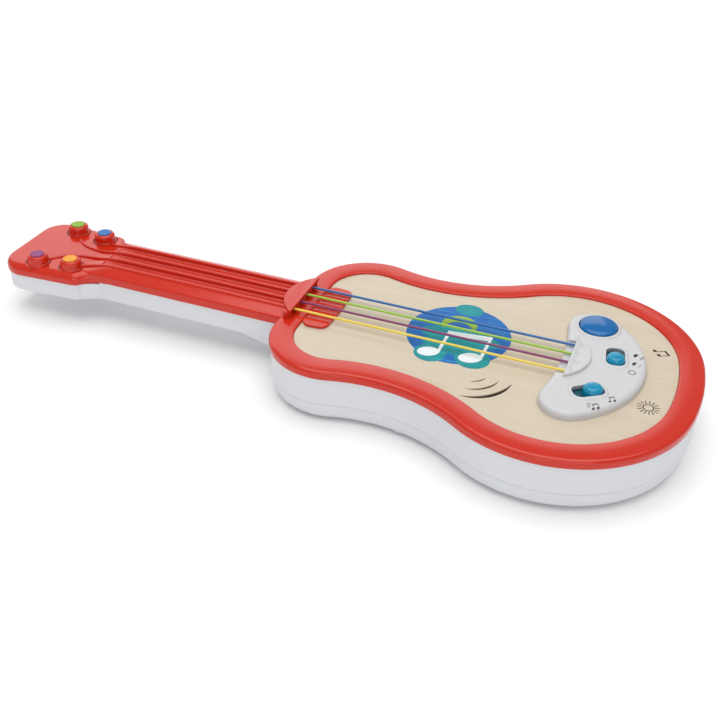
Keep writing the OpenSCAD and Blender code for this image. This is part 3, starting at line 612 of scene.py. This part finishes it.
nut = from_cad("string_nut")
piece("nut", nut, red_abs, stands_for=("string_nut",), soft=0.55, outward=False)
for side, tag in ((1, "far"), (-1, "near")):
    piece("nut_post_" + tag, lathe([(0, 33.8), (2.6, 33.8), (2.3, 38.0), (0, 38.0)],
                                   (-18.4, side * 18.0), {1: 0.4}), red_abs)
piece("finger_rest", from_cad("finger_plate"), red_abs, stands_for=("finger_plate",), soft=0.3,
      outward=False)

# ---------------------------------------------------------------- birch front


def crescent(at, radius, thick, start, end, low, high):
    """Arc that is thickest in the middle and runs out to points."""
    bm = section([(radius - thick / 2, low), (radius + thick / 2, low),
                  (radius + thick / 2, high), (radius - thick / 2, high)], 0)
    bmesh.ops.rotate(bm, cent=(0, 0, 0), matrix=Matrix.Rotation(math.radians(start), 3, "Z"),
                     verts=bm.verts)
    sweep(bm, [(0, 0, end - start)], 4)
    for v in bm.verts:
        r = math.hypot(v.co.x, v.co.y)
        u = (math.degrees(math.atan2(v.co.y, v.co.x)) - start) % 360 / (end - start)
        shift = (radius + (r - radius) * math.sin(math.pi * min(1, max(0, u))) ** 0.8) / r
        v.co.x *= shift
        v.co.y *= shift
    bmesh.ops.remove_doubles(bm, verts=bm.verts, dist=0.01)
    bmesh.ops.translate(bm, vec=(at[0], at[1], 0), verts=bm.verts)
    return bm


SLOT_AT = (91.5, -26.5)
SLOTS = ((10.0, 1.0, -76, -18), (16.8, 1.5, -84, -12), (23.5, 2.5, -88, -8))
front = section([(0, 28.8), (0, 32.8)], TAIL_X - 13.7, closed=False)
sweep(front, BODY)
front = combine(lid(mirrored(front)), pod_solid(2.0, 27, 34, 0.1))
for radius, thick, a, b in SLOTS:
    front = combine(front, crescent(SLOT_AT, radius, thick, a, b, 27, 35))
piece("birch_front", front, birch_ply, stands_for=("wood_panel",), soft=0.18)
piece("sound_cloth", join(*[crescent(SLOT_AT, radius, thick + 0.5, a - 1, b + 1, 31.4, 32.0)
                            for radius, thick, a, b in SLOTS]), cloth)

# ---------------------------------------------------------------- control pod

hollow = combine(pod_solid(2.2, 31.5, 35.4, 0.4), block((118, -17.5, 30), (141, 17.5, 36)))
pod = combine(pod_solid(0, 32.85, POD_TOP, 2.7), hollow)
pod = combine(pod, lathe([(0, 30), (10.8, 30), (10.8, 42), (0, 42)], BUTTON))
for x, y, turn in (VOLUME, MODE):
    pod = combine(pod, put(window_block(16.6, 9.8, 3.9, 30, 42), (x, y), turn))
pod = combine(pod, block((118, -16.5, 35.2), (138.5, 16.5, 42), 0.9))
piece("pod_cover", pod, pod_white, stands_for=("control_pod",), soft=0.25)
collar = lathe([(10.8, 35.6), (10.8, 38.1), (11.9, 38.1), (13.4, 36.7), (13.0, 35.6)], BUTTON,
               {1: 0.35, 2: 0.7, 3: 0.5}, closed=True)
piece("button_collar", collar, pod_white)
for (x, y, turn), tag in ((VOLUME, "volume"), (MODE, "mode")):
    band = window_band([(0, 35.6), (0, 38.0), (1.2, 38.0), (2.6, 36.9), (2.6, 35.6)], 16.6, 9.8,
                       3.9, {1: 0.35, 2: 0.6, 3: 0.3})
    piece(tag + "_collar", put(band, (x, y), turn), pod_white)

saddle = from_cad("bridge")
crest = [e for e in saddle.edges if all(abs(v.co.z - 39.0) < 0.01 for v in e.verts)
         and e.calc_face_angle(0) > 0.8]
bmesh.ops.bevel(saddle, geom=crest, offset=1.1, offset_type="OFFSET", segments=5, profile=0.5,
                affect="EDGES", clamp_overlap=True, material=-1)
for y in (-12.9, -4.3, 4.3, 12.9):
    dent = bmesh.new()
    bmesh.ops.create_uvsphere(dent, u_segments=24, v_segments=16, radius=3.2)
    bmesh.ops.translate(dent, vec=(142.4, y, 39 + 2.6), verts=dent.verts)
    saddle = combine(saddle, dent)
piece("saddle", saddle, pod_white, stands_for=("bridge",))

# ---------------------------------------------------------------- moving controls

cap = lathe([(0, 34.0), (10.45, 34.0), (10.45, 38.6), (8.6, 39.35), (5.5, 39.85), (0, 40.1)],
            BUTTON, {2: 1.0, 3: 1.6, 4: 2.4})
stem = lathe([(0, 28.4), (2.5, 28.4), (2.5, 34.2), (0, 34.2)], BUTTON)
piece("play_cap", join(cap, stem), blue_abs, "play_button", ("play_button",))

HALF_SLIDE = 2.5                      # a knob stands this far from the middle of its window


def slider(tag, place_at, end):
    """Domed knob that fills most of its window, over a flat plate."""
    x, y, turn = place_at
    dome = block((-5.2, -4.7, 34.6), (5.2, 4.7, 40.4), 4.5, upright=True)
    top = [e for e in dome.edges if all(abs(v.co.z - 40.4) < 0.01 for v in e.verts)]
    bmesh.ops.bevel(dome, geom=top, offset=4.3, offset_type="OFFSET", segments=10, profile=0.5,
                    affect="EDGES", clamp_overlap=True, material=-1)
    put(dome, (end * HALF_SLIDE, 0))
    put(dome, (x, y), turn)
    piece(tag + "_dome", dome, teal, tag + "_knob", (tag + "_knob",), sharp=60)
    # the plate is a real part of the knob; its dark teal is painted shade for the gap beside the dome
    plate = block((end * HALF_SLIDE - 11.2, -5.5, 33.95), (end * HALF_SLIDE + 11.2, 5.5, 34.9),
                  0.3, upright=True)
    tip = block((end * HALF_SLIDE - 1, -1, 29.2), (end * HALF_SLIDE + 1, 1, 34.2))
    piece(tag + "_plate", put(join(plate, tip), (x, y), turn), teal_painted_shade, tag + "_knob")


slider("volume", VOLUME, -1)
slider("mode", MODE, 1)

# ---------------------------------------------------------------- casing

tray = from_cad("mid_shell")
under = [e for e in tray.edges if e.is_manifold and all(abs(v.co.z - 17.0) < 0.01 for v in e.verts)
         and e.calc_face_angle(0) > 0.8 and all(abs(v.co.y) > 19 or v.co.x < -190 for v in e.verts)]
bmesh.ops.bevel(tray, geom=under, offset=2.2, offset_type="OFFSET", segments=4, profile=0.5,
                affect="EDGES", clamp_overlap=True, material=-1)
piece("mid_casing", tray, white_abs, stands_for=("mid_shell",), soft=0.3, outward=False)

wall = body_band([(-0.8, 12.42), (-1.5, 9.0), (-2.6, 0), (-11.0, 0), (-11.0, 2.4), (-5.4, 2.4),
                  (-3.4, 12.42)], {0: 0.35, 2: 7.2, 5: 3.0})
for at in ((62, -48), (62, 48)):
    wall = combine(wall, lathe([(0, -1), (3.3, -1), (3.3, 3), (0, 3)], at))
    wall = join(wall, lathe([(3.3, 0.4), (4.6, 0.4), (4.6, 12.4), (3.3, 12.4)], at, closed=True))
piece("back_wall", wall, white_abs)
inside = section([(0, -2), (0, 30)], TAIL_X - 10.8, closed=False)
sweep(inside, BODY)
piece("back_plate", combine(from_cad("back_shell"), lid(mirrored(inside)), "INTERSECT"), white_abs,
      stands_for=("back_shell",), soft=0.25)
piece("bay_door", from_cad("battery_door"), white_abs, "battery_door", ("battery_door",), soft=0.3,
      outward=False)

# ---------------------------------------------------------------- printed marks


def oval(at, rx, ry, turn=0.0, segments=48):
    """Flat ellipse."""
    bm = bmesh.new()
    bmesh.ops.create_circle(bm, cap_ends=True, radius=1, segments=segments)
    bmesh.ops.scale(bm, vec=(rx, ry, 1), verts=bm.verts)
    return put(bm, at, turn)


def strip(at, length, width, turn=0.0):
    """Flat rectangle."""
    bm = bmesh.new()
    bmesh.ops.create_grid(bm, x_segments=1, y_segments=1, size=0.5)
    bmesh.ops.scale(bm, vec=(length, width, 1), verts=bm.verts)
    return put(bm, at, turn)


def printed(name, parts, low, material, thick=0.05):
    """Ink film: flat shapes raised by their own thickness and made one."""
    whole = None
    for bm in parts:
        out = bmesh.ops.extrude_face_region(bm, geom=bm.faces[:])["geom"]
        bmesh.ops.translate(bm, vec=(0, 0, thick),
                            verts=[g for g in out if isinstance(g, bmesh.types.BMVert)])
        bmesh.ops.translate(bm, vec=(0, 0, low), verts=bm.verts)
        whole = combine(whole, bm, "UNION") if whole else bm
    return piece(name, whole, material)


FRONT = 32.78
printed("print_disc", [oval((75.7, 4), 29, 29, segments=96)], FRONT, ink_blue, 0.07)
printed("print_band", [oval((77.5, 1.5), 22.5, 8.5), oval((66.6, -19.2), 8.8, 8.3),
                       oval((89.4, -16.3), 9.6, 8.9), oval((75, -8), 16, 8),
                       oval((74.2, 30.6), 8.2, 6.0)], FRONT + 0.06, ink_teal)
piece("print_leaf", crescent((73.5, 11), 8.6, 6.6, -15, 205, FRONT + 0.08, FRONT + 0.16), ink_lime)
printed("print_note", [oval((65.4, -18.4), 6.0, 4.3, 24), oval((88.0, -15.7), 6.4, 4.6, 24),
                       strip((70.4, -6.6), 1.8, 23), strip((93.4, -4.0), 1.8, 23),
                       strip((81.9, 4.6), 24.7, 4.4, 6.6)], FRONT + 0.13, ink_white)


def joined_notes(at, size, turn=0.0):
    """Flat parts of two note heads, their stems and the beam."""
    parts = [oval((-0.36 * size, -0.36 * size), 0.17 * size, 0.13 * size, 20, 20),
             oval((0.22 * size, -0.28 * size), 0.17 * size, 0.13 * size, 20, 20),
             strip((-0.22 * size, 0.02 * size), 0.07 * size, 0.76 * size),
             strip((0.36 * size, 0.1 * size), 0.07 * size, 0.76 * size),
             strip((0.07 * size, 0.4 * size), 0.65 * size, 0.15 * size, 8)]
    return [put(part, at, turn) for part in parts]


def half_moon(at, radius, turn):
    """Flat half disc."""
    bm = oval((0, 0), radius, radius)
    bmesh.ops.bisect_plane(bm, geom=bm.verts[:] + bm.edges[:] + bm.faces[:], plane_co=(0, 0, 0),
                           plane_no=(1, 0, 0), clear_outer=True)
    return put(bm, at, turn)


def ring(at, radius, line, start=0.0, turn=360.0):
    """Flat ring, or a stretch of one."""
    bm = section([(radius - line / 2, 0), (radius + line / 2, 0)], 0, closed=False)
    bmesh.ops.rotate(bm, cent=(0, 0, 0), matrix=Matrix.Rotation(math.radians(start), 3, "Z"),
                     verts=bm.verts)
    bmesh.ops.spin(bm, geom=bm.verts[:] + bm.edges[:], cent=(0, 0, 0), axis=(0, 0, 1),
                   dvec=(0, 0, 0), angle=math.radians(turn), steps=max(6, round(turn / 12)),
                   use_merge=turn == 360.0, use_duplicate=False)
    return put(bm, at)


TOP = POD_TOP - 0.02
printed("volume_marks", [
    ring((170.9, -1.6), 1.75, 0.42),
    half_moon((171.4, 6.6), 1.8, -20), ring((171.4, 6.6), 2.5, 0.3, -50, 60),
    half_moon((170.9, 14.6), 1.9, -20), ring((170.9, 14.6), 2.6, 0.3, -50, 60),
    ring((170.9, 14.6), 3.4, 0.3, -50, 60)], TOP, ink_black)
lines = [strip((155.3 + 0.3 * n, -37.0 - 1.4 * n), 2.0, 0.4, 30) for n in range(3)]
printed("mode_marks", joined_notes((158.9, -38.2), 4.6, 30) + joined_notes((165.4, -29.2), 4.4, 30)
        + lines, TOP, ink_black)
printed("tail_note", joined_notes((182.3, 29.6), 7.5, -60), FRONT, ink_dark)
rays = [put(strip((0, 4.6), 0.5, 2.6), (0, 0), a) for a in range(0, 360, 24)]
printed("tail_rays", [put(part, (183.2, -22.8)) for part in [ring((0, 0), 2.6, 0.55)] + rays],
        FRONT, ink_dark)

# ---------------------------------------------------------------- floor and light


def stage():
    floor = bmesh.new()
    bmesh.ops.create_grid(floor, x_segments=1, y_segments=1, size=4000)
    bmesh.ops.translate(floor, vec=(0, 0, -0.3), verts=floor.verts)
    m, t, s = finish_of("matt white paper", {"Base Color": linear("#fbfbfb"), "Roughness": 0.9})
    mesh = bpy.data.meshes.new("floor")
    bmesh.ops.scale(floor, vec=(MM,) * 3, verts=floor.verts)
    floor.to_mesh(mesh)
    floor.free()
    mesh.materials.append(m)
    o = bpy.data.objects.new("floor", mesh)
    bpy.context.collection.objects.link(o)
    for name, at, wide, tall, power in (
            ("back left softbox", (-0.95, 1.35, 0.8), 2.4, 0.9, 8),
            ("overhead softbox", (0.05, 0.0, 1.8), 2.2, 2.0, 30),
            ("front card", (0.6, -1.7, 0.55), 1.6, 0.8, 7)):
        lamp = bpy.data.lights.new(name, "AREA")
        lamp.shape, lamp.size, lamp.size_y, lamp.energy = "RECTANGLE", wide, tall, power
        o = bpy.data.objects.new(name, lamp)
        o.location = at
        o.rotation_euler = (Vector((0, 0, 0)) - Vector(at)).to_track_quat("-Z", "Y").to_euler()
        bpy.context.collection.objects.link(o)
    world = bpy.data.worlds.new("studio")
    bpy.context.scene.world = world
    world.use_nodes = True
    world.node_tree.nodes["Background"].inputs["Color"].default_value = linear("#ffffff")
    world.node_tree.nodes["Background"].inputs["Strength"].default_value = 0.4
    bpy.context.scene.view_settings.view_transform = "Standard"


stage()
